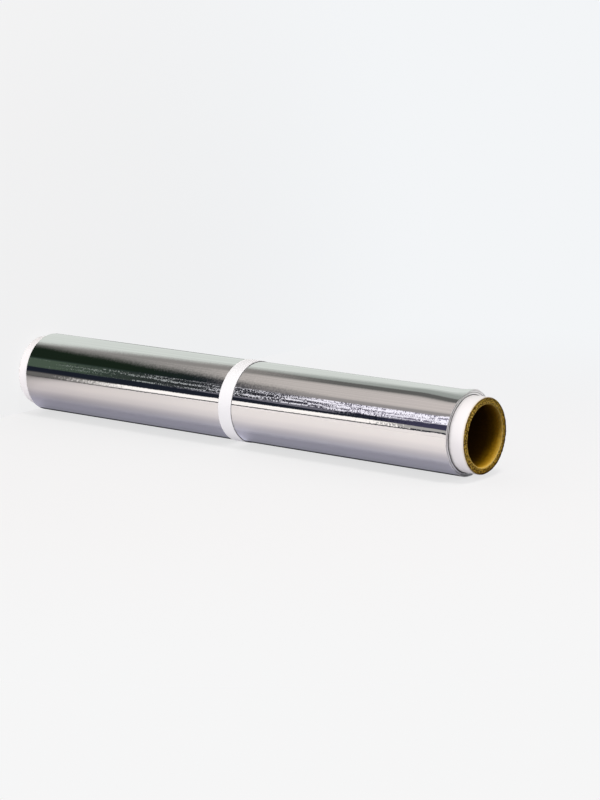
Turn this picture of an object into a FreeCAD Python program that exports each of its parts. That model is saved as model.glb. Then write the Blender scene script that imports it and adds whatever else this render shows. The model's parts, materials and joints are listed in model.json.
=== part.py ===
import FreeCAD, Part
import math
import os

# Kitchen foil roll: aluminium foil wound on a thick board tube with a white face, held by a paper band.
# Lengths are in millimetres and angles in degrees, anticlockwise about +Z from +X.
# The roll stands on one end. +Z runs along its axis, and the origin is where that axis
# meets the lower end of the tube.

# Board tube
bore_radius = 16.9            # the open bore, where a holder's rod or end cap goes in
board_thickness = 3.5         # brown board of the wall, without its white face
rim_bevel = 0.4               # worn inner edge of each sawn rim
lower_overhang = 8.8          # tube that stands out below the foil
upper_overhang = 9.3          # tube that stands out above the foil

# White face of the tube: the last ply, glued round the board
face_thickness = 0.3
face_setback = 0.3            # how far the saw's burr leaves its cut edge from the rim

# Wound foil
foil_width = 300.0            # width of the foil, so the length of its winding
foil_build = 2.45             # radial thickness of all the turns together
winding_clearance = 0.05      # between the white face and the first turn
free_edge_step = 0.12         # step where the outermost turn ends
free_edge_angle = 225.0       # where round the roll that step runs

# Turns that show on both ends of the winding
end_turns = 4                 # turns of the furrow between layers that wandered
furrow_width = 0.2
furrow_depth = 0.35
end_land = 0.25               # plain turns left inside the first and outside the last furrow
upper_furrow_angle = 40.0     # where the furrow starts on the upper end
lower_furrow_angle = 160.0    # and on the lower one

# Paper band round the middle of the roll
band_width = 9.0
band_thickness = 0.15
band_clearance = 0.04         # between the outermost turn and the band
band_height = 151.5           # from the lower end of the foil to the band's middle
band_lap_angle = 252.0        # middle of the glued lap
band_lap_length = 12.0        # along the outside of the band

tube_length = lower_overhang + foil_width + upper_overhang
board_radius = bore_radius + board_thickness
face_radius = board_radius + face_thickness
foil_inner_radius = face_radius + winding_clearance
foil_outer_radius = foil_inner_radius + foil_build
band_inner_radius = foil_outer_radius + band_clearance
band_outer_radius = band_inner_radius + band_thickness
foil_bottom = lower_overhang
foil_top = foil_bottom + foil_width
end_pitch = (foil_build - free_edge_step - 2 * end_land - furrow_width) / end_turns

up = FreeCAD.Vector(0, 0, 1)
origin = FreeCAD.Vector(0, 0, 0)


def point(x, y, z=0.0):
    return FreeCAD.Vector(x, y, z)


def ring(inner_radius, outer_radius, bottom, height):
    """A plain hollow cylinder on the roll's axis."""
    outside = Part.makeCylinder(outer_radius, height, point(0, 0, bottom), up)
    inside = Part.makeCylinder(inner_radius, height, point(0, 0, bottom), up)
    return outside.cut(inside)


def spiral_arcs(start_radius, pitch, turns):
    """A four-centre spiral: quarter arcs about the corners of a small square, each with a radius a
    quarter of the pitch longer than the last, so that they meet with a common tangent."""
    growth = pitch / 4
    corners = [(-1, 1), (-1, -1), (1, -1), (1, 1)]
    arcs = []
    for quarter in range(4 * turns):
        corner_x, corner_y = corners[quarter % 4]
        centre = point(corner_x * growth / 2, corner_y * growth / 2)
        radius = start_radius + growth / 2 + quarter * growth
        first = math.radians(90 * quarter)
        circle = Part.Circle(centre, up, radius)
        arcs.append(Part.Arc(circle, first, first + math.pi / 2).toShape())
    return arcs


def arc_ends(arcs):
    """The first and the last point of a run of arcs."""
    return arcs[0].firstVertex().Point, arcs[-1].lastVertex().Point


def turned(shape, angle):
    """A copy of the shape, turned about the roll's axis."""
    copy = shape.copy()
    copy.rotate(origin, up, angle)
    return copy


def outermost_turn():
    """The outline of the winding from outside: one turn that ends in a small step over its own start."""
    arcs = spiral_arcs(foil_outer_radius - free_edge_step, free_edge_step, 1)
    start, end = arc_ends(arcs)
    step = Part.LineSegment(end, start).toShape()
    outline = Part.Face(Part.Wire(arcs + [step]))
    return turned(outline, free_edge_angle)


def furrow(angle):
    """The furrow between turns on one end: a strip of even width that winds from the tube outwards."""
    near_side = spiral_arcs(foil_inner_radius + end_land, end_pitch, end_turns)
    far_side = spiral_arcs(foil_inner_radius + end_land + furrow_width, end_pitch, end_turns)
    near_start, near_end = arc_ends(near_side)
    far_start, far_end = arc_ends(far_side)
    mouth = Part.LineSegment(near_start, far_start).toShape()
    tail = Part.LineSegment(near_end, far_end).toShape()
    edges = Part.sortEdges(near_side + [tail] + far_side + [mouth])[0]
    return turned(Part.Face(Part.Wire(edges)), angle)


def make_core_tube():
    """Brown board, wound and glued into a thick wall, then sawn to length."""
    rim_radius = bore_radius + rim_bevel
    corners = [
        point(board_radius, 0, 0),
        point(board_radius, 0, tube_length),
        point(rim_radius, 0, tube_length),
        point(bore_radius, 0, tube_length - rim_bevel),
        point(bore_radius, 0, rim_bevel),
        point(rim_radius, 0, 0),
        point(board_radius, 0, 0),
    ]
    return Part.Face(Part.makePolygon(corners)).revolve(origin, up, 360)


def make_tube_white_face():
    """The tube's outermost ply of white paper, which shows on both overhangs."""
    return ring(board_radius, face_radius, face_setback, tube_length - 2 * face_setback)


def make_foil_roll():
    """All the turns of foil as one solid: the outermost turn's step runs down the outside,
    and the turns show as a spiral furrow on each end."""
    winding = outermost_turn().extrude(point(0, 0, foil_width))
    winding.translate(point(0, 0, foil_bottom))
    hole = Part.makeCylinder(foil_inner_radius, foil_width, point(0, 0, foil_bottom), up)
    winding = winding.cut(hole)
    lower = furrow(lower_furrow_angle).extrude(point(0, 0, furrow_depth))
    lower.translate(point(0, 0, foil_bottom))
    upper = furrow(upper_furrow_angle).extrude(point(0, 0, furrow_depth))
    upper.translate(point(0, 0, foil_top - furrow_depth))
    return winding.cut(lower).cut(upper)


def make_paper_band():
    """A strip of paper drawn round the roll, with its end glued over its start."""
    bottom = foil_bottom + band_height - band_width / 2
    strip = ring(band_inner_radius, band_outer_radius, bottom, band_width)
    lap_span = math.degrees(band_lap_length / band_outer_radius)
    lap_ring = ring(band_outer_radius, band_outer_radius + band_thickness, bottom, band_width)
    reach = 2 * band_outer_radius
    first = math.radians(band_lap_angle - lap_span / 2)
    last = math.radians(band_lap_angle + lap_span / 2)
    corners = [
        point(0, 0, bottom),
        point(reach * math.cos(first), reach * math.sin(first), bottom),
        point(reach * math.cos(last), reach * math.sin(last), bottom),
        point(0, 0, bottom),
    ]
    sector = Part.Face(Part.makePolygon(corners)).extrude(point(0, 0, band_width))
    return strip.fuse(lap_ring.common(sector))


def save(name, shape):
    """Checks one piece and writes it to its file."""
    if len(shape.Solids) != 1 or not shape.isValid():
        raise ValueError(f"{name} is not one sound solid")
    solid = shape.Solids[0]
    solid.exportStep(f"parts/{name}.step")
    box = solid.BoundBox
    print(f"{name}: volume {solid.Volume:.0f} mm3, from z {box.ZMin:.2f} to {box.ZMax:.2f}, "
          f"{box.XLength:.2f} by {box.YLength:.2f} across, {len(solid.Faces)} faces")


os.makedirs("parts", exist_ok=True)
save("core_tube", make_core_tube())
save("tube_white_face", make_tube_white_face())
save("foil_roll", make_foil_roll())
save("paper_band", make_paper_band())
print(f"tube {tube_length:.1f} long, foil {2 * foil_outer_radius:.1f} across, furrow pitch {end_pitch:.3f}")
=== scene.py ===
# %% [markdown]
# A roll of kitchen foil, dressed for its picture. The roll is four things: a thick tube of brown
# board, a ply of white paper glued round it, many turns of aluminium foil, and a strip of paper that
# holds them. Each one meets light in its own way, so each gets its own mesh and its own finish.
# The frame holds the real sizes, and everything below is measured from it.

import json
import math
import random

import bmesh
import bpy
from mathutils import Matrix, Vector, noise


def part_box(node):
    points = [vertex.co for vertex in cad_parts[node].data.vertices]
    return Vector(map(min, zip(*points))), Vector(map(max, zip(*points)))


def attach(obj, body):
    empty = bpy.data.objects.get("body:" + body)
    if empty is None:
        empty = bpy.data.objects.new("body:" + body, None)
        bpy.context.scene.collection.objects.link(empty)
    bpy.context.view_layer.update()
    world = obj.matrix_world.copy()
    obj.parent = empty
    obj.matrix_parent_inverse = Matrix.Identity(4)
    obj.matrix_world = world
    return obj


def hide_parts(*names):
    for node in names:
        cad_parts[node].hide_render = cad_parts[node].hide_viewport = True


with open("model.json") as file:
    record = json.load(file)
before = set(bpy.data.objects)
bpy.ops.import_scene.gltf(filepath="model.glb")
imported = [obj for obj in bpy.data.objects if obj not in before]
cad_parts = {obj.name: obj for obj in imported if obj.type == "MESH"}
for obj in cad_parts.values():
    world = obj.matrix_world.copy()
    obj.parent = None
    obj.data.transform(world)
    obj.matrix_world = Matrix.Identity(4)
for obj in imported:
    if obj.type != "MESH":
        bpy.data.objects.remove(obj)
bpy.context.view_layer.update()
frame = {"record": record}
MM = 0.001

# %% [markdown]
# The roll stands on its lower rim with its axis along Z, so a radius is half of a node's box and a
# height is a Z. The bore's radius is the one size that no box shows, so it comes from the record's
# mount, where a stranger would look for it too.

# %% Read the roll's sizes
WINDING_CLEARANCE = 0.05 * MM
mounts = {mount["name"]: mount for mount in frame["record"]["mounts"]}
bore_radius = mounts["bore"]["dims"]["r_mm"] * MM
board_low, board_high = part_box("core_tube")
face_low, face_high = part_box("tube_white_face")
foil_low, foil_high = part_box("foil_roll")
band_low, band_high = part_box("paper_band")
board_radius = board_high.x
face_radius = face_high.x
foil_inner_radius = face_radius + WINDING_CLEARANCE
foil_radius = foil_high.x
band_radius = band_high.x
tube_height = board_high.z
foil_middle = Vector((0, 0, (foil_low.z + foil_high.z) / 2))
print(f"tube {tube_height / MM:.1f} mm tall, foil {2 * foil_radius / MM:.1f} mm across")

# %% [markdown]
# In the picture the roll lies on a table, seen from a little above, with its open upper end turned
# towards the viewer. Here it stands, so the picture's own directions are written in the roll's frame:
# the table becomes an upright sheet beside the roll, `above` points away from that sheet, and
# `towards` points along the sheet to the viewer's side. The camera is then placed by two plain
# angles, and rolled with its picture, which is how a photographer would tilt the set.

# %% Name the picture's directions
along = Vector((0, 0, 1))
above = Vector((1, -1, 0)).normalized()
towards = along.cross(above)
camera_height_angle = math.radians(11.2)
roll_turned_angle = math.radians(37.1)
across = along * math.cos(roll_turned_angle) - towards * math.sin(roll_turned_angle)
level_ahead = -along * math.sin(roll_turned_angle) - towards * math.cos(roll_turned_angle)
ahead = level_ahead * math.cos(camera_height_angle) - above * math.sin(camera_height_angle)
upright = level_ahead * math.sin(camera_height_angle) + above * math.cos(camera_height_angle)
print("the camera looks along", tuple(round(value, 3) for value in ahead))

# %% [markdown]
# The lens is long, about three times a normal one, because the roll's two ends look almost the same
# size. The middle of the foil sits a little left of the picture's middle.

# %% Set up the camera
camera_distance = 1.348
middle_left_of_centre = 29.35 * MM
middle_below_centre = 0.35 * MM
lens_length = 107.06
camera_data = bpy.data.cameras.new("camera")
camera_data.lens = lens_length
camera_data.sensor_width = 36
camera_data.clip_start = 0.01
camera = bpy.data.objects.new("camera", camera_data)
bpy.context.scene.collection.objects.link(camera)
aim = foil_middle + across * middle_left_of_centre + upright * middle_below_centre
place = aim - ahead * camera_distance
turn = Matrix((across, upright, -ahead)).transposed().to_4x4()
camera.matrix_world = Matrix.Translation(place) @ turn
bpy.context.scene.camera = camera
bpy.context.scene.view_settings.view_transform = "Standard"
print(f"camera {camera_distance:.2f} m from the roll, with a lens of {lens_length:.0f} mm")

# %% [markdown]
# Meshes are modelled as by hand: pick the object, open it in edit mode, select by place, and let an
# operator do the work. These small helpers keep that readable. Everything is deselected first,
# because loading the frame leaves its own nodes selected.


# %% Helpers for working on a mesh
def pick(piece):
    """Makes this the only selected object, and the active one."""
    bpy.ops.object.select_all(action="DESELECT")
    piece.select_set(True)
    bpy.context.view_layer.objects.active = piece


def open_mesh(piece, kind="VERT"):
    """Opens a piece in edit mode with nothing selected."""
    pick(piece)
    bpy.ops.object.mode_set(mode="EDIT")
    bpy.ops.mesh.select_mode(type=kind)
    bpy.ops.mesh.select_all(action="DESELECT")


def close_mesh():
    bpy.ops.object.mode_set(mode="OBJECT")


def select_points(piece, test):
    """In edit mode, selects the points that pass a test, with the edges and faces between them."""
    shape = bmesh.from_edit_mesh(piece.data)
    for vertex in shape.verts:
        vertex.select_set(test(vertex.co))
    shape.select_flush(True)
    bmesh.update_edit_mesh(piece.data)


def select_upright_edges(piece):
    """In edit mode, selects the edges that run along the roll's axis."""
    shape = bmesh.from_edit_mesh(piece.data)
    for edge in shape.edges:
        first, second = edge.verts
        edge.select_set(abs(first.co.z - second.co.z) > 0.01 * MM)
    bmesh.update_edit_mesh(piece.data)


def far_out(place):
    """How far a point is from the roll's axis."""
    return math.hypot(place.x, place.y)


def select_end_loop(piece, height, radius):
    """In edit mode, selects the outer loop of points at one height."""
    bpy.ops.mesh.select_all(action="DESELECT")
    select_points(piece, lambda p: abs(p.z - height) < 0.01 * MM and far_out(p) > radius * 0.998)


def bridge_inside(piece, radius):
    """In edit mode, joins the two loops nearest the axis into one wall."""
    select_points(piece, lambda p: far_out(p) < radius * 1.0005)
    bpy.ops.mesh.bridge_edge_loops()


def push_out(new_radius, old_radius):
    """Extrudes the selected loop to another distance from the axis."""
    share = new_radius / old_radius
    bpy.ops.mesh.extrude_region_move()
    bpy.ops.transform.resize(value=(share, share, 1), center_override=(0, 0, 0))


def lift(height):
    """Extrudes the selected loop along the axis."""
    bpy.ops.mesh.extrude_region_move(TRANSFORM_OT_translate={"value": (0, 0, height)})


def sleeve(name, radius, bottom, top, sides, rings):
    """An open sleeve on the axis, cut into rings along its length."""
    bpy.ops.object.select_all(action="DESELECT")
    bpy.ops.mesh.primitive_cylinder_add(vertices=sides, radius=radius, depth=top - bottom,
                                        end_fill_type="NOTHING", location=(0, 0, (top + bottom) / 2))
    piece = bpy.context.object
    piece.name = name
    piece.data.name = name
    bpy.ops.object.transform_apply(location=True)
    open_mesh(piece, "EDGE")
    select_upright_edges(piece)
    bpy.ops.mesh.subdivide(number_cuts=rings - 1)
    close_mesh()
    return piece


def tidy_mesh(piece, smooth_angle=35):
    """Merges doubled points, turns every face outwards and shades the soft edges smooth."""
    open_mesh(piece)
    bpy.ops.mesh.select_all(action="SELECT")
    bpy.ops.mesh.remove_doubles(threshold=0.0005 * MM)
    bpy.ops.mesh.normals_make_consistent(inside=False)
    close_mesh()
    bpy.ops.object.shade_smooth_by_angle(angle=math.radians(smooth_angle))
    print(f"{piece.name}: {len(piece.data.vertices)} points, {len(piece.data.polygons)} faces")


# %% [markdown]
# Nothing here is perfectly true: paper edges are sawn, and foil drifts as it winds. A small move of
# each point along a smooth noise gives that. The noise gets its seed here, because it would
# otherwise take one from the clock, and every run should give the same roll.


# %% Helper for uneven edges
NOISE_SEED = 1
noise.seed_set(NOISE_SEED)


def wander(piece, size, shift, test):
    """Moves the points that pass a test by a smooth noise: `size` is the width of its waves, and
    `shift` the most that it moves a point outwards from the axis and along it."""
    moved = 0
    for vertex in piece.data.vertices:
        if not test(vertex.co):
            continue
        swing = noise.noise_vector(vertex.co / size)
        share = 1 + swing.x * shift[0] / far_out(vertex.co)
        vertex.co.x *= share
        vertex.co.y *= share
        vertex.co.z += swing.z * shift[1]
        moved += 1
    print(f"{piece.name}: {moved} points wander")


# %% [markdown]
# The winding starts as one open sleeve. Its ends are built by pushing the edge loop in towards the
# tube in small steps, up a little and down a little, because layers wander when foil is wound at
# speed. The two inner loops are then bridged, so that the winding is one closed solid.

# %% Wind the foil
FOIL_SIDES = 240
FOIL_RINGS = 120
OUTER_SETBACK = 0.55
UPPER_END_HEIGHTS = (-0.5, -0.6, -0.42, -0.52, -0.34, -0.46, -0.24, -0.33, -0.15)
LOWER_END_HEIGHTS = (-0.5, -0.57, -0.4, -0.5, -0.3, -0.38, -0.2, -0.28, -0.12)


def step_end_in(piece, end_height, outwards, heights):
    """Builds one end of the winding from its outer edge loop to the tube, in uneven steps."""
    select_end_loop(piece, end_height, foil_radius)
    radius = foil_radius
    height = -OUTER_SETBACK
    step_width = (foil_radius - foil_inner_radius) / len(heights)
    for next_height in heights:
        lift(outwards * (next_height - height) * MM)
        push_out(radius - step_width, radius)
        radius -= step_width
        height = next_height


def make_winding():
    top = foil_high.z - OUTER_SETBACK * MM
    bottom = foil_low.z + OUTER_SETBACK * MM
    piece = sleeve("foil_winding", foil_radius, bottom, top, FOIL_SIDES, FOIL_RINGS)
    open_mesh(piece)
    step_end_in(piece, top, 1, UPPER_END_HEIGHTS)
    step_end_in(piece, bottom, -1, LOWER_END_HEIGHTS)
    bridge_inside(piece, foil_inner_radius)
    close_mesh()
    return piece


winding = make_winding()

# %% [markdown]
# The outermost turn ends somewhere, and its edge runs down the hidden side of the roll. The sleeve
# has a column of points at that angle, and one cut through the axis adds another right beside it.
# Every point of the outside is then drawn in by what is left of the last turn, so that the foil
# climbs by one small step over its own start.

# %% End the outermost turn
FREE_EDGE_ANGLE = math.radians(225)
FREE_EDGE_STEP = 0.12 * MM
FREE_EDGE_WIDTH = math.radians(0.15)


def turn_share(place):
    """How much of the last turn has been wound at this point, from 0 at its start to 1."""
    angle = math.atan2(place.y, place.x) - FREE_EDGE_ANGLE
    share = (angle % math.tau) / math.tau
    return 0 if share > 0.99999 else share


def end_outermost_turn(piece):
    open_mesh(piece)
    bpy.ops.mesh.select_all(action="SELECT")
    angle = FREE_EDGE_ANGLE - FREE_EDGE_WIDTH
    bpy.ops.mesh.bisect(plane_co=(0, 0, 0), plane_no=(-math.sin(angle), math.cos(angle), 0))
    close_mesh()
    for vertex in piece.data.vertices:
        if far_out(vertex.co) < foil_radius * 0.995:
            continue
        drawn_in = 1 - FREE_EDGE_STEP * (1 - turn_share(vertex.co)) / foil_radius
        vertex.co.x *= drawn_in
        vertex.co.y *= drawn_in


end_outermost_turn(winding)

# %% [markdown]
# The roll has been handled, so its ends aren't true. At the lower end the turns have wandered out by
# a millimetre or more, most of all on the side that lies lowest. At the upper end a thumb has
# pressed the last turns in a little, and beside the dent they stand up in a small lip. The outside
# ripples faintly all over, and more in the last centimetre or so above.

# %% Let the ends drift
LOWER_END_DRIFT = 1.2 * MM
LOW_SIDE_DRIFT = 1.8 * MM
DRIFT_REACH = 5 * MM
DENT_REACH = 32 * MM
DENT_DEPTH = 0.6 * MM
LIP_REACH = 10 * MM
LIP_RISE = 0.9 * MM
RIPPLE_REACH = 14 * MM
END_DEPTH = 1 * MM


def hump(value, middle, half_width):
    """A smooth rise from 0 to 1 and back, round a middle."""
    away = min(1.0, abs(value - middle) / half_width)
    return 0.5 + 0.5 * math.cos(math.pi * away)


def angle_round(place):
    """The angle round the roll in degrees: 0 towards the viewer, 90 above, 180 on the far side."""
    return math.degrees(math.atan2(place.dot(above), place.dot(towards)))


def drift_lower_end(piece):
    """Lets the turns wander out at the lower end, most of all on the side that lies lowest."""
    for vertex in piece.data.vertices:
        if vertex.co.z > foil_low.z + DRIFT_REACH:
            continue
        share = 1 - max(0.0, vertex.co.z - foil_low.z) / DRIFT_REACH
        lowest = hump(angle_round(vertex.co), -75, 60)
        vertex.co.z -= share * (LOWER_END_DRIFT + LOW_SIDE_DRIFT * lowest)


def dent_upper_end(piece):
    """Presses the last turns in where a thumb has held the roll, and lifts them beside the dent."""
    for vertex in piece.data.vertices:
        depth = foil_high.z - vertex.co.z
        out = (far_out(vertex.co) - foil_inner_radius) / (foil_radius - foil_inner_radius)
        if depth > DENT_REACH or out <= 0:
            continue
        angle = angle_round(vertex.co)
        pressed = DENT_DEPTH * hump(angle, 77, 32) * hump(depth, 0, DENT_REACH)
        lifted = LIP_RISE * hump(angle, 107, 34) * hump(depth, 0, LIP_REACH)
        share = 1 + out * (lifted - pressed) / far_out(vertex.co)
        vertex.co.x *= share
        vertex.co.y *= share


def on_outside(place):
    return far_out(place) > foil_radius * 0.99


def near_foil_end(place):
    return place.z > foil_high.z - END_DEPTH or place.z < foil_low.z + END_DEPTH


drift_lower_end(winding)
dent_upper_end(winding)
wander(winding, 45 * MM, (0.05 * MM, 0), on_outside)
wander(winding, 9 * MM, (0.07 * MM, 0), lambda p: on_outside(p) and p.z > foil_high.z - RIPPLE_REACH)
wander(winding, 3 * MM, (0.03 * MM, 0.2 * MM), near_foil_end)
tidy_mesh(winding)

# %% [markdown]
# The board is a sleeve too. It was wound from six plies of brown paper and then sawn, so its rims
# are pushed in ply by ply, each ply left a little higher or lower by the saw, and the inner edge is
# worn down. Bridging the inner loops makes the bore.

# %% Saw the board tube
BOARD_SIDES = 240
PLIES = 6
GROOVE_SHARE = 0.15
SAW_UNEVENNESS = 0.14
PLY_SINK = 0.08
RIM_SINK = 0.3
luck = random.Random(12)


def saw_rim(piece, end_height, outwards):
    """Builds one rim from the outer edge loop to the bore, ply by ply."""
    select_end_loop(piece, end_height, board_radius)
    ply = (board_radius - bore_radius) / PLIES
    radius = board_radius
    height = 0.0
    for number in range(PLIES):
        groove = GROOVE_SHARE * ply
        push_out(radius - groove, radius)
        next_height = -luck.uniform(0.0, SAW_UNEVENNESS)
        lift(outwards * (next_height - height) * MM)
        height = next_height
        last = number == PLIES - 1
        next_radius = bore_radius if last else radius - ply
        push_out(next_radius, radius - groove)
        sink = RIM_SINK if last else PLY_SINK
        bpy.ops.transform.translate(value=(0, 0, -outwards * sink * MM))
        height -= sink
        radius = next_radius


def make_board():
    piece = sleeve("board_tube", board_radius, board_low.z, board_high.z, BOARD_SIDES, 2)
    open_mesh(piece)
    saw_rim(piece, board_high.z, 1)
    saw_rim(piece, board_low.z, -1)
    bridge_inside(piece, bore_radius)
    close_mesh()
    return piece


board = make_board()


def near_rim(place):
    return place.z > board_high.z - 1 * MM or place.z < board_low.z + 1 * MM


wander(board, 1.1 * MM, (0.1 * MM, 0.16 * MM), near_rim)
wander(board, 6 * MM, (0.06 * MM, 0.08 * MM), near_rim)
tidy_mesh(board)

# %% [markdown]
# The white face is one ply of paper, 0.3 mm thick, glued round the board. It is the sleeve that shows
# at both ends of the roll, so it gets its real thickness and a slightly torn edge where it was sawn.

# %% Wrap the white face
FACE_SIDES = 200
TORN_BACK = 0.15 * MM
face_high.z -= TORN_BACK


def make_white_face():
    piece = sleeve("white_face", face_radius, face_low.z, face_high.z, FACE_SIDES, 60)
    open_mesh(piece)
    inside = board_radius + 0.01 * MM
    for end_height in (face_low.z, face_high.z):
        select_end_loop(piece, end_height, face_radius)
        push_out(inside, face_radius)
    bridge_inside(piece, inside)
    close_mesh()
    return piece


def on_cut_edge(place):
    return place.z > face_high.z - 0.1 * MM or place.z < face_low.z + 0.1 * MM


white_face = make_white_face()
wander(white_face, 1.4 * MM, (0, 0.12 * MM), on_cut_edge)
wander(white_face, 30 * MM, (0.03 * MM, 0), lambda p: far_out(p) > face_radius * 0.995)
tidy_mesh(white_face)

# %% [markdown]
# The band is a strip of thin paper drawn tight round the middle, with its end glued over its start.
# It is a short sleeve with real thickness. The lap is made by selecting the outer faces there and
# extruding them outwards by one more thickness of paper.

# %% Draw the band round the roll
BAND_SIDES = 240
BAND_THICKNESS = 0.15 * MM
LAP_FIRST = math.radians(237)
LAP_LAST = math.radians(267)
BAND_TILT = 0.035


def in_lap(place):
    angle = math.atan2(place.y, place.x) % math.tau
    return LAP_FIRST < angle < LAP_LAST


def make_band():
    outside = band_radius
    inside = foil_radius + 0.01 * MM
    piece = sleeve("paper_strip", outside, band_low.z, band_high.z, BAND_SIDES, 6)
    open_mesh(piece)
    for end_height in (band_low.z, band_high.z):
        select_end_loop(piece, end_height, outside)
        push_out(inside, outside)
    bridge_inside(piece, inside)
    bpy.ops.mesh.select_all(action="DESELECT")
    select_points(piece, lambda p: far_out(p) > outside * 0.998 and in_lap(p))
    push_out(outside + BAND_THICKNESS, outside)
    close_mesh()
    return piece


def set_askew(piece):
    """Tilts the band a little, because it was put on by hand."""
    for vertex in piece.data.vertices:
        vertex.co.z += BAND_TILT * vertex.co.dot(above)


strip = make_band()
set_askew(strip)
wander(strip, 7 * MM, (0.03 * MM, 0.12 * MM), lambda p: True)
tidy_mesh(strip)

# %% [markdown]
# A finish is a tree of nodes. These helpers add a node, set its plain values and wire its inputs, so
# that each finish below reads as a short recipe.


# %% Helpers for wiring finishes
def feed(tree, socket, value):
    """Wires an output into a socket, or gives the socket a plain value."""
    if isinstance(value, bpy.types.NodeSocket):
        tree.links.new(value, socket)
    elif value is not None:
        socket.default_value = value


def put(tree, kind, inputs=None, **settings):
    """Adds a node. Settings are its own properties, and each input takes an output or a plain value."""
    node = tree.nodes.new("ShaderNode" + kind)
    for name, value in settings.items():
        setattr(node, name, value)
    for name, value in (inputs or {}).items():
        feed(tree, node.inputs[name], value)
    return node


def maths(tree, operation, first, second=None):
    """One step of arithmetic between outputs or plain numbers."""
    return put(tree, "Math", {0: first, 1: second}, operation=operation).outputs[0]


def plus(tree, first, second):
    return maths(tree, "ADD", first, second)


def minus(tree, first, second):
    return maths(tree, "SUBTRACT", first, second)


def times(tree, first, second):
    return maths(tree, "MULTIPLY", first, second)


def mixed(tree, share, first, second, **settings):
    """A colour between two others, each an output or a plain colour."""
    first, second = ((*colour, 1) if isinstance(colour, tuple) else colour for colour in (first, second))
    node = put(tree, "Mix", data_type="RGBA", **settings)
    for number, value in ((0, share), (6, first), (7, second)):
        feed(tree, node.inputs[number], value)
    return node.outputs[2]


def between(tree, value, low, high, to_low=0.0, to_high=1.0):
    """Maps a value smoothly from one range to another."""
    limits = {"From Min": low, "From Max": high, "To Min": to_low, "To Max": to_high}
    node = put(tree, "MapRange", {"Value": value, **limits}, interpolation_type="SMOOTHSTEP")
    return node.outputs["Result"]


def noise_at(tree, spot, detail, scale=1.0, distortion=0.0):
    """A smooth noise, read where a vector says."""
    inputs = {"Vector": spot, "Scale": scale, "Detail": detail, "Distortion": distortion}
    return put(tree, "TexNoise", inputs).outputs["Fac"]


def grain(tree, place, stretch, detail):
    """A noise that reads the piece's own place, stretched by a scale along each axis."""
    spot = put(tree, "Mapping", {"Vector": place, "Scale": stretch})
    return noise_at(tree, spot.outputs[0], detail)


def vector_maths(tree, operation, first, second=None):
    """One step of arithmetic between vectors, each an output or three plain numbers."""
    return put(tree, "VectorMath", {0: first, 1: second}, operation=operation)


def along_axis_of(tree, place, axis):
    """How far a place lies along an axis."""
    return vector_maths(tree, "DOT_PRODUCT", place, axis).outputs["Value"]


def ramp(tree, value, low, high, stops):
    """A colour that changes with a value, through stops of (value, red, green, blue)."""
    share = put(tree, "MapRange", {"Value": value, "From Min": low, "From Max": high})
    node = put(tree, "ValToRGB", {"Fac": share.outputs["Result"]})
    points = node.color_ramp.elements
    for number, (at, *colour) in enumerate(stops):
        if number > 1:
            points.new((at - low) / (high - low))
        points[number].position = (at - low) / (high - low)
        points[number].color = (*colour, 1)
    return node.outputs["Color"]


def mix_shaders(tree, share, first, second):
    """One shader where a mask is 0 and another where it is 1."""
    return put(tree, "MixShader", {0: share, 1: first.outputs[0], 2: second.outputs[0]})


def new_finish(name):
    """A material with its shader, its tree and the piece's own place."""
    material = bpy.data.materials.new(name)
    material.use_nodes = True
    tree = material.node_tree
    place = put(tree, "TexCoord").outputs["Object"]
    return material, tree, tree.nodes["Principled BSDF"], place


def raise_surface(tree, shader, height, depth):
    """Bumps the surface by a height from 0 to 1 that stands for `depth` metres."""
    node = put(tree, "Bump", {"Strength": 1.0, "Distance": depth, "Height": height})
    tree.links.new(node.outputs["Normal"], shader.inputs["Normal"])
    return node.outputs["Normal"]


# %% [markdown]
# Bright foil is a mirror with rolling marks. The rollers leave fine lines along the foil's length,
# which run round the roll here, and a faint grain. Both tilt the surface a little to and fro along
# the axis and hardly at all across it, so that an edge of a reflection stays sharp where it follows
# the roll, and breaks up into sparks where it crosses it. The tilt is added to the normal itself,
# because a bump would tilt both ways.

# %% Finish of the foil's bright side
GRAIN_SCALE = (880, 880, 880)
GRAIN_TILT = 0.015
LINE_SCALE = (160, 160, 1100)
LINE_TILT = 0.002
CLOUD_SCALE = (25, 25, 12)
RIPPLE_SCALE = (90, 90, 14)
RIPPLE_DEPTH = 0.02 * MM


def tilted_to_and_fro(tree, place, normal):
    """A normal that a grain and fine lines tilt along the piece's own Z."""
    speck = minus(tree, grain(tree, place, GRAIN_SCALE, 0.6), 0.5)
    line = minus(tree, grain(tree, place, LINE_SCALE, 1.0), 0.5)
    tilt = plus(tree, times(tree, speck, GRAIN_TILT), times(tree, line, LINE_TILT))
    axis = put(tree, "VectorTransform", {"Vector": (0, 0, 1)},
               vector_type="VECTOR", convert_from="OBJECT", convert_to="WORLD")
    sideways = vector_maths(tree, "SCALE", axis.outputs[0])
    tree.links.new(tilt, sideways.inputs["Scale"])
    leaning = vector_maths(tree, "ADD", normal, sideways.outputs[0])
    return vector_maths(tree, "NORMALIZE", leaning.outputs[0]).outputs[0]


def make_bright_foil():
    material, tree, shader, place = new_finish("foil_bright")
    clouds = grain(tree, place, CLOUD_SCALE, 3.0)
    bloom = mixed(tree, between(tree, clouds, 0.35, 0.65), (0.885, 0.885, 0.885), (0.915, 0.912, 0.905))
    tree.links.new(bloom, shader.inputs["Base Color"])
    tree.links.new(between(tree, clouds, 0.3, 0.7, 0.015, 0.024), shader.inputs["Roughness"])
    shader.inputs["Metallic"].default_value = 1
    ripple = raise_surface(tree, shader, grain(tree, place, RIPPLE_SCALE, 2.0), RIPPLE_DEPTH)
    tree.links.new(tilted_to_and_fro(tree, place, ripple), shader.inputs["Normal"])
    return material


bright_foil = make_bright_foil()

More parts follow.
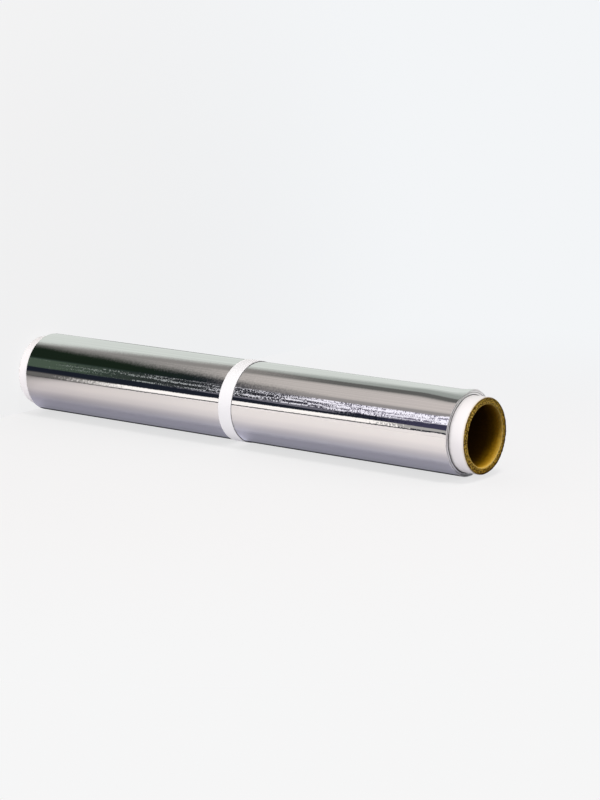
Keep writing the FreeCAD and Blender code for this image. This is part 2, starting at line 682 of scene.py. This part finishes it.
# %% [markdown]
# At the ends the turns are seen edge on. Hundreds of edges 12 micrometres thick blur into a duller
# grey, with finer and coarser rings where the winding was tighter or looser. The rings read the
# distance from the axis, so they run round the end. Next to the tube the end is painted almost
# black, a painted shade for the gap between the foil and the white face.

# %% Finish of the foil's ends
RING_SCALE = 1500
# The two darkest stops next to the tube are painted shade in the gap against the white face.
RINGS_AND_GAP_SHADE_BY_RADIUS = (
    (0.0, 0.05, 0.05, 0.055),
    (0.1, 0.1, 0.1, 0.105),
    (0.2, 0.97, 0.97, 0.97),
    (0.5, 0.95, 0.95, 0.95),
    (0.62, 0.45, 0.45, 0.46),
    (0.76, 0.95, 0.95, 0.95),
    (1.0, 0.8, 0.8, 0.8),
)


def distance_from_axis(tree, place):
    flat = vector_maths(tree, "MULTIPLY", place, (1, 1, 0))
    return vector_maths(tree, "LENGTH", flat.outputs[0]).outputs["Value"]


def make_foil_ends():
    material, tree, shader, place = new_finish("foil_edges")
    radius = distance_from_axis(tree, place)
    rings_at = put(tree, "CombineXYZ", {"X": times(tree, radius, RING_SCALE)})
    drift = vector_maths(tree, "MULTIPLY", place, (30, 30, 0))
    where = vector_maths(tree, "ADD", rings_at.outputs[0], drift.outputs[0])
    rings = noise_at(tree, where.outputs[0], 3.0)
    build = foil_radius - foil_inner_radius
    share = maths(tree, "DIVIDE", minus(tree, radius, foil_inner_radius), build)
    # The broad rings, with painted shade next to the tube.
    broad = ramp(tree, share, 0.0, 1.0, RINGS_AND_GAP_SHADE_BY_RADIUS)
    tint = mixed(tree, between(tree, rings, 0.36, 0.5, 0.5, 0.0), broad, (0.12, 0.12, 0.13))
    tree.links.new(tint, shader.inputs["Base Color"])
    shader.inputs["Metallic"].default_value = 1
    shader.inputs["Roughness"].default_value = 0.42
    raise_surface(tree, shader, rings, 0.12 * MM)
    return material


foil_ends = make_foil_ends()

# %% [markdown]
# Paper is fibres. One group gives them to the board, the white face and the band: long soft fibres
# drawn out one way, with short ones between. Each finish places the group with its own scale.

# %% A group for paper fibres
def make_fibre_group():
    group = bpy.data.node_groups.new("paper_fibres", "ShaderNodeTree")
    for name in ("Place", "Stretch"):
        group.interface.new_socket(name=name, in_out="INPUT", socket_type="NodeSocketVector")
    for name in ("Height", "Fleck"):
        group.interface.new_socket(name=name, in_out="OUTPUT", socket_type="NodeSocketFloat")
    way_in = group.nodes.new("NodeGroupInput")
    way_out = group.nodes.new("NodeGroupOutput")
    spot = vector_maths(group, "MULTIPLY", way_in.outputs["Place"], way_in.outputs["Stretch"])
    long_fibre = noise_at(group, spot.outputs[0], 3.0, distortion=0.6)
    short_fibre = noise_at(group, spot.outputs[0], 2.0, scale=3.7)
    height = plus(group, times(group, long_fibre, 0.65), times(group, short_fibre, 0.35))
    fleck = between(group, short_fibre, 0.56, 0.7)
    group.links.new(height, way_out.inputs["Height"])
    group.links.new(fleck, way_out.inputs["Fleck"])
    return group


fibre_group = make_fibre_group()


def fibres(tree, place, stretch):
    node = put(tree, "Group", node_tree=fibre_group)
    feed(tree, node.inputs["Place"], place)
    feed(tree, node.inputs["Stretch"], stretch)
    return node.outputs["Height"], node.outputs["Fleck"]


# %% [markdown]
# Brown board is dark and golden at once. The sawn rim is mottled: pale and worn at its inner edge,
# where the pale also stands as a painted highlight of the edge catching light, with dark glue between
# the plies and pale torn fibres. On the side away from the lamps it is painted darker and redder, and
# its outer edge is painted dark, most on that side: both are painted shade. The bore is smoother. It is
# golden for the first few millimetres and painted darker further in, a painted shade for the depth
# that light doesn't reach. The seam of the innermost ply winds up it as a thin line.

# %% Finish of the brown board
# Dark glue between the plies, and the painted shade of the rim's outer edge.
DARK_GLUE_AND_SHADE = (0.045, 0.02, 0.002)
DARK_BOARD = (0.11, 0.055, 0.005)
LIGHT_BOARD = (0.84, 0.56, 0.1)
# Painted shade: the rim's colour on the side away from the lamps.
RED_SHADED_BOARD = (0.62, 0.35, 0.03)
TORN_FIBRE = (0.95, 0.72, 0.24)
# Worn board at the bore's edge, lightened further as a painted highlight where the edge catches light.
WORN_AND_HIGHLIT_BOARD = (0.85, 0.6, 0.18)
BORE_BLOTCH = (0.03, 0.014, 0.001)
SEAM_SHADOW = (0.02, 0.01, 0.002)
# Painted shade: the bore darkens with depth, where light doesn't reach.
BORE_SHADE_BY_DEPTH = (
    (0.0, 1.0, 0.66, 0.16),
    (0.001, 0.88, 0.54, 0.07),
    (0.003, 0.46, 0.24, 0.013),
    (0.006, 0.18, 0.092, 0.002),
    (0.01, 0.078, 0.036, 0.0015),
    (0.016, 0.055, 0.025, 0.0015),
)
SEAM_PITCH = 62 * MM


def ply_lines(tree, radius):
    """A mask of the thin glue lines between the plies, by distance from the axis."""
    ply = (board_radius - bore_radius) / PLIES
    count = maths(tree, "DIVIDE", minus(tree, board_radius, radius), ply)
    away = maths(tree, "ABSOLUTE", minus(tree, maths(tree, "FRACT", count), 0.5))
    return between(tree, away, 0.36, 0.5)


def spiral_seam(tree, place):
    """A mask of the seam where the innermost ply's edges meet, winding up the bore."""
    axes = put(tree, "SeparateXYZ", {0: place})
    turns = maths(tree, "DIVIDE", maths(tree, "ARCTAN2", axes.outputs["Y"], axes.outputs["X"]), math.tau)
    climb = maths(tree, "DIVIDE", axes.outputs["Z"], SEAM_PITCH)
    phase = maths(tree, "FRACT", plus(tree, turns, climb))
    away = maths(tree, "ABSOLUTE", minus(tree, phase, 0.5))
    return between(tree, away, 0.492, 0.4985)


def rim_colour(tree, radius, shaded_side, blotch, fleck):
    """The sawn rim, from its worn inner edge to its outer one, with painted shade on the side away from
    the lamps.
    """
    wall = board_radius - bore_radius
    # Painted shade: darker and redder on the side away from the lamps.
    light = mixed(tree, between(tree, shaded_side, -8 * MM, 12 * MM), LIGHT_BOARD, RED_SHADED_BOARD)
    body = mixed(tree, between(tree, blotch, 0.42, 0.58), DARK_BOARD, light)
    body = mixed(tree, times(tree, ply_lines(tree, radius), 0.6), body, DARK_GLUE_AND_SHADE)
    # Painted shade: a dark outer edge all round, darkest on the side away from the lamps.
    outer = between(tree, radius, board_radius - 0.32 * wall, board_radius - 0.14 * wall)
    outer = times(tree, outer, between(tree, shaded_side, 0.0, 12 * MM, 0.25, 1.0))
    # The inner edge: worn, and a painted highlight of the edge catching light.
    inner = between(tree, radius, bore_radius + 0.2 * wall, bore_radius + 0.06 * wall)
    body = mixed(tree, times(tree, inner, 0.75), body, WORN_AND_HIGHLIT_BOARD)
    body = mixed(tree, times(tree, fleck, 0.75), body, TORN_FIBRE)
    return mixed(tree, times(tree, outer, 0.9), body, DARK_GLUE_AND_SHADE)


def bore_colour(tree, place, blotch):
    """The bore's wall, golden near a rim and painted darker further in, as painted shade of the deep
    bore.
    """
    height = along_axis_of(tree, place, (0, 0, 1))
    from_lower = minus(tree, height, board_low.z)
    from_upper = minus(tree, board_high.z, height)
    depth = maths(tree, "MINIMUM", from_lower, from_upper)
    # Painted shade by depth from the nearer rim.
    wall = ramp(tree, depth, 0.0, 0.016, BORE_SHADE_BY_DEPTH)
    wall = mixed(tree, between(tree, blotch, 0.35, 0.65, 0.0, 0.2), wall, BORE_BLOTCH)
    return mixed(tree, times(tree, spiral_seam(tree, place), 0.5), wall, SEAM_SHADOW)


def make_board_finish():
    material, tree, shader, place = new_finish("brown_board")
    radius = distance_from_axis(tree, place)
    height, fleck = fibres(tree, place, (800, 800, 800))
    blotch = grain(tree, place, (1100, 1100, 1100), 3.0)
    # The side away from the lamps, where the rim gets its painted shade.
    shaded_side = along_axis_of(tree, place, -towards * 0.8 - above * 0.6)
    in_bore = maths(tree, "LESS_THAN", radius, bore_radius + 0.1 * MM)
    sawn = rim_colour(tree, radius, shaded_side, blotch, fleck)
    colour = mixed(tree, in_bore, sawn, bore_colour(tree, place, blotch))
    tree.links.new(colour, shader.inputs["Base Color"])
    shader.inputs["Roughness"].default_value = 0.85
    shader.inputs["Specular IOR Level"].default_value = 0.04
    raise_surface(tree, shader, height, 0.12 * MM)
    return material


brown_board = make_board_finish()

# %% [markdown]
# White paper is nearly plain: a faint cloudiness, and a fibre bump of a few hundredths of a
# millimetre. The face ply is slightly glazed, and the band is matt. At the upper end the saw has
# left its brown dust in the paper's last millimetre or two.

# %% Finishes of the white papers
SAW_DUST = (0.8, 0.66, 0.44)
DUST_REACH = 1.8 * MM


def make_paper(name, colour, roughness, gloss, stretch, depth):
    material, tree, shader, place = new_finish(name)
    height = fibres(tree, place, stretch)[0]
    clouds = grain(tree, place, (60, 60, 60), 2.0)
    shade = tuple(channel * 0.975 for channel in colour)
    tint = mixed(tree, between(tree, clouds, 0.3, 0.7), shade, colour)
    upwards = along_axis_of(tree, place, along)
    dusty = between(tree, upwards, tube_height - DUST_REACH, tube_height - 0.5 * MM)
    tint = mixed(tree, times(tree, dusty, 0.5), tint, SAW_DUST)
    tree.links.new(tint, shader.inputs["Base Color"])
    shader.inputs["Roughness"].default_value = roughness
    shader.inputs["Specular IOR Level"].default_value = gloss
    raise_surface(tree, shader, height, depth)
    return material


face_paper = make_paper("white_face_paper", (0.858, 0.82, 0.82), 0.5, 0.35, (500, 500, 260), 0.03 * MM)
band_paper = make_paper("band_paper", (0.84, 0.822, 0.83), 0.7, 0.2, (260, 260, 700), 0.04 * MM)

# %% [markdown]
# Each piece gets its finishes, then rides on its body and replaces its node. The
# winding has two finishes: the outermost turn is bright, and its ends and inner wall are not.


# %% Put the finishes on
def finish_piece(piece, node, slot, *finishes):
    """Gives a piece its finishes, puts it on the root body and hides its node in the frame."""
    for finish in finishes:
        piece.data.materials.append(finish)
    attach(piece, "root")
    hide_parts(node)


def on_an_end(face):
    """Whether a face of the winding belongs to one of its ends or to the hidden inner wall."""
    place = face.calc_center_median()
    is_riser = near_foil_end(place) and far_out(place) < foil_radius - 0.25 * MM
    return abs(face.normal.z) > 0.5 or is_riser or far_out(place) < foil_inner_radius + 0.3 * MM


def finish_ends(piece):
    """Gives the second finish to the ends and to the hidden inner wall."""
    open_mesh(piece, "FACE")
    shape = bmesh.from_edit_mesh(piece.data)
    for face in shape.faces:
        face.select_set(on_an_end(face))
    bmesh.update_edit_mesh(piece.data)
    piece.active_material_index = 1
    bpy.ops.object.material_slot_assign()
    close_mesh()


finish_piece(winding, "foil_roll", "foil", bright_foil, foil_ends)
finish_piece(board, "core_tube", "brown_board", brown_board)
finish_piece(white_face, "tube_white_face", "white_face_paper", face_paper)
finish_piece(strip, "paper_band", "band_paper", band_paper)
finish_ends(winding)

# %% [markdown]
# The stage is a pale sheet under the lying roll, which is upright here, and a pale floor under the
# standing one. The camera sees both nearly at the backdrop's own brightness, more so the further
# they are from the roll, so that they melt into it and keep only a breath of shadow. From behind,
# the sheet is clear.

# %% Finish of the stage
BACKDROP = (0.896, 0.913, 0.93)
NEAR_BACKDROP = (0.922, 0.922, 0.924)
SHEET_COLOUR = (0.86, 0.83, 0.83)
SHEET_GLOW = 0.76
FLOOR_GLOW = 0.9


def start_stage_finish(name):
    material = bpy.data.materials.new(name)
    material.use_nodes = True
    tree = material.node_tree
    tree.nodes.clear()
    return material, tree, put(tree, "NewGeometry")


def make_stage_finish(name, near_glow, see_through_back):
    material, tree, geometry = start_stage_finish(name)
    spot = geometry.outputs["Position"]
    away = vector_maths(tree, "DISTANCE", spot, foil_middle).outputs["Value"]
    nearness = between(tree, along_axis_of(tree, spot, towards), -0.4, 0.15)
    glow_colour = mixed(tree, nearness, BACKDROP, NEAR_BACKDROP)
    glow = put(tree, "Emission", {"Color": glow_colour})
    lit = put(tree, "BsdfDiffuse", {"Color": (*SHEET_COLOUR, 1)})
    path = put(tree, "LightPath")
    melted = between(tree, away, 0.17, 0.45, near_glow, 1.0)
    share = times(tree, path.outputs["Is Camera Ray"], melted)
    surface = mix_shaders(tree, share, lit, glow)
    if see_through_back:
        clear = put(tree, "BsdfTransparent")
        surface = mix_shaders(tree, geometry.outputs["Backfacing"], surface, clear)
    put(tree, "OutputMaterial", {"Surface": surface.outputs[0]})
    return material


# %% [markdown]
# The foil mirrors a sheet of its own, because this is what colours the lower half of the roll. Its
# colour holds painted shadow: almost black along the line where the roll touches it, a darker bluish
# painted shade close to the roll, warm further out, and painted darker beyond the roll's far end.
# Where the roll shades the sheet, and under it, a faint glow stands for the light that bounces there:
# painted light, an emission.

# %% Finish of the mirrored sheet
# Painted shadow: the dark stops along the contact line and the darker bluish stops near it.
SHEET_AND_SHADOW_BY_DISTANCE = (
    (-0.05, 0.86, 0.83, 0.84),
    (-0.01, 0.06, 0.06, 0.07),
    (0.0062, 0.05, 0.05, 0.06),
    (0.0086, 0.7, 0.7, 0.84),
    (0.016, 0.58, 0.57, 0.67),
    (0.021, 0.5, 0.49, 0.56),
    (0.026, 0.575, 0.55, 0.61),
    (0.038, 0.82, 0.77, 0.785),
    (0.06, 0.9, 0.845, 0.84),
    (0.2, 0.88, 0.83, 0.82),
)
# Painted shade: darker beyond the roll's far end.
SHEET_SHADE_BY_LENGTH = (
    (-0.09, 0.13, 0.13, 0.13),
    (-0.04, 0.25, 0.25, 0.25),
    (0.012, 0.76, 0.75, 0.76),
    (0.05, 0.87, 0.86, 0.86),
    (0.15, 1.0, 1.0, 1.0),
)
# Painted light: an emission that stands for light bouncing under and beside the roll.
CONTACT_GLOW = (
    (-0.08, 0.0, 0.0, 0.0),
    (-0.045, 0.4, 0.395, 0.42),
    (-0.016, 0.16, 0.157, 0.18),
    (0.0, 0.04, 0.04, 0.045),
    (0.0035, 0.0, 0.0, 0.0),
    (0.0062, 0.0, 0.0, 0.0),
    (0.0088, 0.18, 0.18, 0.215),
    (0.0115, 0.165, 0.164, 0.2),
    (0.0145, 0.175, 0.172, 0.215),
    (0.0175, 0.165, 0.162, 0.2),
    (0.0205, 0.095, 0.092, 0.12),
    (0.024, 0.02, 0.02, 0.026),
    (0.028, 0.0, 0.0, 0.0),
)


def make_mirrored_finish():
    material, tree, geometry = start_stage_finish("mirrored_sheet")
    spot = geometry.outputs["Position"]
    out = along_axis_of(tree, spot, towards)
    shifted = plus(tree, along_axis_of(tree, spot, along), times(tree, out, 0.5))
    # Colour with painted shadow near the roll.
    colour = ramp(tree, out, -0.05, 0.2, SHEET_AND_SHADOW_BY_DISTANCE)
    # Painted shade beyond the far end.
    shade = ramp(tree, shifted, -0.09, 0.15, SHEET_SHADE_BY_LENGTH)
    both = mixed(tree, 1.0, colour, shade, blend_type="MULTIPLY")
    lit = put(tree, "BsdfDiffuse", {"Color": both})
    # Painted bounce light, as an emission.
    painted_bounce = put(tree, "Emission", {"Color": ramp(tree, out, -0.08, 0.028, CONTACT_GLOW)})
    total = put(tree, "AddShader", {0: lit.outputs[0], 1: painted_bounce.outputs[0]})
    clear = put(tree, "BsdfTransparent")
    surface = mix_shaders(tree, geometry.outputs["Backfacing"], total, clear)
    put(tree, "OutputMaterial", {"Surface": surface.outputs[0]})
    return material


# %% [markdown]
# Each part of the stage meets only the rays it is for. The sheet that is seen isn't mirrored, the
# sheet that is mirrored isn't seen, and none of them shades or lights the papers, which get their
# light from the world and from two lamps.

# %% Lay out the stage
STAGE_SIZE = 8
MIRRORED_LENGTH = 4
MIRRORED_FRONT = 0.2
MIRRORED_BACK = 0.8


def hide_from(thing, *rays):
    """Hides an object from some kinds of rays."""
    for ray in rays:
        setattr(thing, f"visible_{ray}", False)


def stage_plane(name, centre, facing, right, width, depth, material):
    """A flat sheet of the stage that faces one way."""
    bpy.ops.object.select_all(action="DESELECT")
    bpy.ops.mesh.primitive_plane_add(size=1)
    plane = bpy.context.object
    plane.name = name
    second = facing.cross(right)
    turn = Matrix((right * width, second * depth, facing)).transposed().to_4x4()
    plane.data.transform(Matrix.Translation(centre) @ turn)
    plane.data.materials.append(material)
    return plane


sheet_place = -above * (band_radius + 0.02 * MM)
seen_sheet = stage_plane("seen_sheet", sheet_place, above, along, STAGE_SIZE, STAGE_SIZE,
                         make_stage_finish("pale_sheet", SHEET_GLOW, True))
hide_from(seen_sheet, "glossy", "diffuse", "shadow")
mirrored_middle = sheet_place + towards * (MIRRORED_FRONT - MIRRORED_BACK) / 2
mirrored_sheet = stage_plane("mirrored_sheet", mirrored_middle, above, along, MIRRORED_LENGTH,
                             MIRRORED_FRONT + MIRRORED_BACK, make_mirrored_finish())
hide_from(mirrored_sheet, "camera", "diffuse", "shadow")
floor = stage_plane("floor", along * -0.1 * MM, along, above, STAGE_SIZE, STAGE_SIZE,
                    make_stage_finish("pale_floor", FLOOR_GLOW, False))
hide_from(floor, "glossy", "diffuse", "shadow")

# %% [markdown]
# A mirror shows what stands round it, so foil is lit by cards: flat panels of light or dark at set
# angles, as on a product set. Here they are drawn into the world. Each card covers a range of
# angles round the roll, counted from the table on the viewer's side (0) over the top (90) to the far
# side (180). It may lean, so that its edges slant along the roll, and fade out towards one end. The
# lean is counted from the roll's middle and stops short of its near end.

# %% A group for one card
LEAN_MIDDLE = -0.6
LEAN_STOP = -0.525


def make_card_group():
    group = bpy.data.node_groups.new("studio_card", "ShaderNodeTree")
    for name in ("Angle", "Slope", "Low", "High", "Softness", "Lean",
                 "Gone At", "Full At", "Full To", "Gone To"):
        group.interface.new_socket(name=name, in_out="INPUT", socket_type="NodeSocketFloat")
    group.interface.new_socket(name="Mask", in_out="OUTPUT", socket_type="NodeSocketFloat")
    way_in = group.nodes.new("NodeGroupInput").outputs
    way_out = group.nodes.new("NodeGroupOutput")
    leaning_part = maths(group, "MINIMUM", way_in["Slope"], LEAN_STOP)
    lean = times(group, minus(group, leaning_part, LEAN_MIDDLE), way_in["Lean"])
    angle = minus(group, way_in["Angle"], lean)
    soft = way_in["Softness"]

    def soft_edge(side):
        return between(group, angle, minus(group, side, soft), plus(group, side, soft))

    rise = soft_edge(way_in["Low"])
    fall = soft_edge(way_in["High"])
    appear = between(group, way_in["Slope"], way_in["Gone At"], way_in["Full At"])
    vanish = between(group, way_in["Slope"], way_in["Full To"], way_in["Gone To"])
    mask = times(group, rise, minus(group, 1.0, fall))
    mask = times(group, mask, appear)
    mask = times(group, mask, minus(group, 1.0, vanish))
    group.links.new(mask, way_out.inputs["Mask"])
    return group


card_group = make_card_group()

# %% [markdown]
# The slope is how far a ray runs along the roll: about -0.67 at the far end, -0.6 in the middle and
# -0.53 at the near end. Each row gives a card's name and colour, the angles of its two edges, their
# softness, its lean, and the slopes where it starts, is full, is last full and has gone. The list
# goes from the back of the set to the front, and a later card hides an earlier one.

# %% Set out the cards
ALWAYS = (-3, -2, 2, 3)
CARDS = (
    ("dark_room", (0.012, 0.015, 0.024), -400, 400, 1, 0, ALWAYS),
    ("green_room", (0.01, 0.018, 0.011), 46, 400, 4, 0, (-3, -2, -0.65, -0.61)),
    ("green_dim", (0.075, 0.115, 0.08), 24, 45, 5, 0, (-3, -2, -0.67, -0.63)),
    ("far_grey", (0.27, 0.26, 0.25), 57, 400, 15, -440, ALWAYS),
    ("warm_grey", (0.52, 0.48, 0.46), 59.5, 400, 14, -440, (-0.65, -0.595, 2, 3)),
    ("warm_light", (0.6, 0.545, 0.525), 58, 90, 6, 0, (-0.6, -0.54, 2, 3)),
    ("dim_foot", (0.3, 0.28, 0.28), 44, 57, 3, 0, (-0.63, -0.58, 2, 3)),
    ("dim_gap", (0.12, 0.12, 0.115), 96, 180, 5, 60, (-0.665, -0.57, 2, 3)),
    ("mid_step", (0.33, 0.355, 0.335), 113, 180, 3, 60, (-0.62, -0.58, 2, 3)),
    ("mint_sky", (0.68, 0.72, 0.685), 123, 400, 12, 290, ALWAYS),
    ("mint_end", (0.7, 0.74, 0.71), 137, 400, 9, 0, (-0.572, -0.552, 2, 3)),
    ("skyline", (0.2, 0.21, 0.205), 176, 400, 6, 0, (-0.664, -0.655, -0.63, -0.6)),
    ("pale_line", (0.16, 0.155, 0.19), 16.2, 23, 0.8, -60, (-0.64, -0.625, -0.585, -0.57)),
    ("window", "sparks", 21, 46, 1.8, 30, ALWAYS),
    ("dark_foot", (0.05, 0.047, 0.085), 10.5, 25, 1.5, 0, (-0.57, -0.55, 2, 3)),
    ("dim_edge", (0.14, 0.135, 0.13), -9.5, 4, 3, 0, (-3, -2, -0.66, -0.645)),
    ("cream_strip", (1.08, 1.03, 1.0), -2.2, 7.5, 1.0, 88, (-0.672, -0.645, -0.565, -0.55)),
    ("dim_strip", (0.44, 0.425, 0.415), 4, 11, 1.2, 0, (-0.565, -0.55, 2, 3)),
    ("table", (0.88, 0.82, 0.81), -400, -4.8, 0.7, 88, (-0.66, -0.645, 2, 3)),
)
print(f"{len(CARDS)} cards, of which {sum(fade == ALWAYS for *_, fade in CARDS)} run the whole length")

# %% [markdown]
# One card is a window with a fine pattern of light behind it, denser and whiter towards the near
# end. The foil's own grain scatters it into sparks. The whole set is turned by a degree or two,
# which is the last fine adjustment of where the reflections lie. The world isn't sampled as a lamp,
# and mirrors throw no light on other things, because both would only bring noise here.

# %% Light the studio
SET_TURN = 1.6
SPARK_WIDTH = 0.16
SPARK_RATE = 250
SPARK_COLOUR = (1.06, 1.03, 1.14)
FAR_SPARK_COLOUR = (0.2, 0.235, 0.21)
BEHIND_SPARKS = (
    (-0.67, 0.07, 0.1, 0.072),
    (-0.658, 0.04, 0.055, 0.045),
    (-0.64, 0.025, 0.03, 0.03),
    (-0.6, 0.025, 0.025, 0.035),
    (-0.57, 0.09, 0.08, 0.12),
    (-0.54, 0.26, 0.24, 0.32),
)
SPARK_SHARES = (
    (-0.67, 0.72),
    (-0.655, 0.68),
    (-0.63, 0.6),
    (-0.6, 0.54),
    (-0.575, 0.48),
    (-0.555, 0.43),
    (-0.54, 0.42),
)


def streaks(tree, angle, slope, angle_rate, slope_rate, detail):
    """A noise over the directions round the roll and along it."""
    fast_angle = times(tree, angle, angle_rate)
    fast_slope = times(tree, slope, slope_rate)
    where = put(tree, "CombineXYZ", {"X": fast_angle, "Y": fast_slope})
    return noise_at(tree, where.outputs[0], detail)


def sparks_outside(tree, angle, slope):
    """What shows through the window: a fine pattern of light that gets denser towards the near end."""
    speck = streaks(tree, angle, slope, SPARK_WIDTH, SPARK_RATE, 0.0)
    first, last = SPARK_SHARES[0][0], SPARK_SHARES[-1][0]
    grey_stops = [(at, level, level, level) for at, level in SPARK_SHARES]
    bar = put(tree, "SeparateColor", {0: ramp(tree, slope, first, last, grey_stops)}).outputs[0]
    lit = between(tree, minus(tree, speck, bar), -0.02, 0.02)
    behind = ramp(tree, slope, first, last, BEHIND_SPARKS)
    light = mixed(tree, between(tree, slope, -0.67, -0.57), FAR_SPARK_COLOUR, SPARK_COLOUR)
    return mixed(tree, lit, behind, light)


def make_studio(tree):
    """The colours of all the cards, seen along a direction."""
    direction = put(tree, "TexCoord").outputs["Generated"]
    from_top = maths(tree, "ARCTAN2", along_axis_of(tree, direction, towards),
                     along_axis_of(tree, direction, above))
    angle = minus(tree, 90.0 - SET_TURN, times(tree, from_top, math.degrees(1)))
    slope = along_axis_of(tree, direction, along)
    colour = (0.0, 0.0, 0.0)
    for name, tint, low, high, softness, lean, fade in CARDS:
        card = put(tree, "Group", node_tree=card_group, label=name)
        for socket, value in zip(card.inputs, (angle, slope, low, high, softness, lean, *fade)):
            feed(tree, socket, value)
        tint = sparks_outside(tree, angle, slope) if tint == "sparks" else tint
        colour = mixed(tree, card.outputs["Mask"], colour, tint)
    unevenness = streaks(tree, angle, slope, 0.35, 9, 2.0)
    return colour, between(tree, unevenness, 0.3, 0.7, 0.93, 1.07)


LOW_LIGHT = (0.55, 0.54, 0.62)
HIGH_LIGHT = (0.58, 0.57, 0.55)
UNDER_TABLE = (0.28, 0.28, 0.32)
BEFORE_BORE = (0.05, 0.05, 0.05)


def soft_light_of(tree):
    """The light on everything but mirrors: bluish from low down and warm from above, dim from under
    the table, and dim low down beyond the near end, so that the bore stays dark."""
    direction = put(tree, "TexCoord").outputs["Generated"]
    height = along_axis_of(tree, direction, above)
    colour = mixed(tree, between(tree, height, -0.1, 0.6), LOW_LIGHT, HIGH_LIGHT)
    before_bore = between(tree, along_axis_of(tree, direction, along), -0.3, 0.2)
    colour = mixed(tree, between(tree, height, -0.3, -0.9), colour, UNDER_TABLE)
    low = between(tree, height, 0.25, -0.2)
    dimmed = mixed(tree, times(tree, before_bore, low), colour, BEFORE_BORE)
    return put(tree, "Background", {"Color": dimmed})


def make_world():
    world = bpy.data.worlds.new("studio")
    bpy.context.scene.world = world
    world.use_nodes = True
    world.cycles.sampling_method = "NONE"
    tree = world.node_tree
    tree.nodes.clear()
    colour, streak = make_studio(tree)
    mirrored = put(tree, "Background", {"Color": colour, "Strength": streak})
    ambient = soft_light_of(tree)
    backdrop = put(tree, "Background", {"Color": (*BACKDROP, 1)})
    path = put(tree, "LightPath")
    reflected = mix_shaders(tree, path.outputs["Is Glossy Ray"], ambient, mirrored)
    seen = mix_shaders(tree, path.outputs["Is Camera Ray"], reflected, backdrop)
    put(tree, "OutputWorld", {"Surface": seen.outputs[0]})


make_world()
bpy.context.scene.cycles.caustics_reflective = False
print("the studio has", len(bpy.context.scene.world.node_tree.nodes), "nodes")

# %% [markdown]
# Two soft lamps light the papers. The main one stands above, beyond the near end: it reaches into the
# open tube and gilds the low side of the bore. The fill stands low on the viewer's side, towards the
# far end, so that it whitens the papers and leaves the bore alone. Both are hidden from the foil,
# which has its cards.

# %% Hang the lamps
LAMP_DISTANCE = 1.3


def hang_lamp(name, power, size, side):
    lamp = bpy.data.lights.new(name, "AREA")
    lamp.energy = power
    lamp.size = size
    holder = bpy.data.objects.new(name, lamp)
    bpy.context.scene.collection.objects.link(holder)
    holder.location = foil_middle + side.normalized() * LAMP_DISTANCE
    holder.rotation_euler = (-side).to_track_quat("-Z", "Y").to_euler()
    hide_from(holder, "glossy", "camera")


hang_lamp("main_lamp", 8.0, 0.3, above * 1.0 + towards * 0.14 + along * 0.38)
hang_lamp("fill_lamp", 12.4, 0.8, towards * 1.0 - above * 0.22 - along * 0.25)
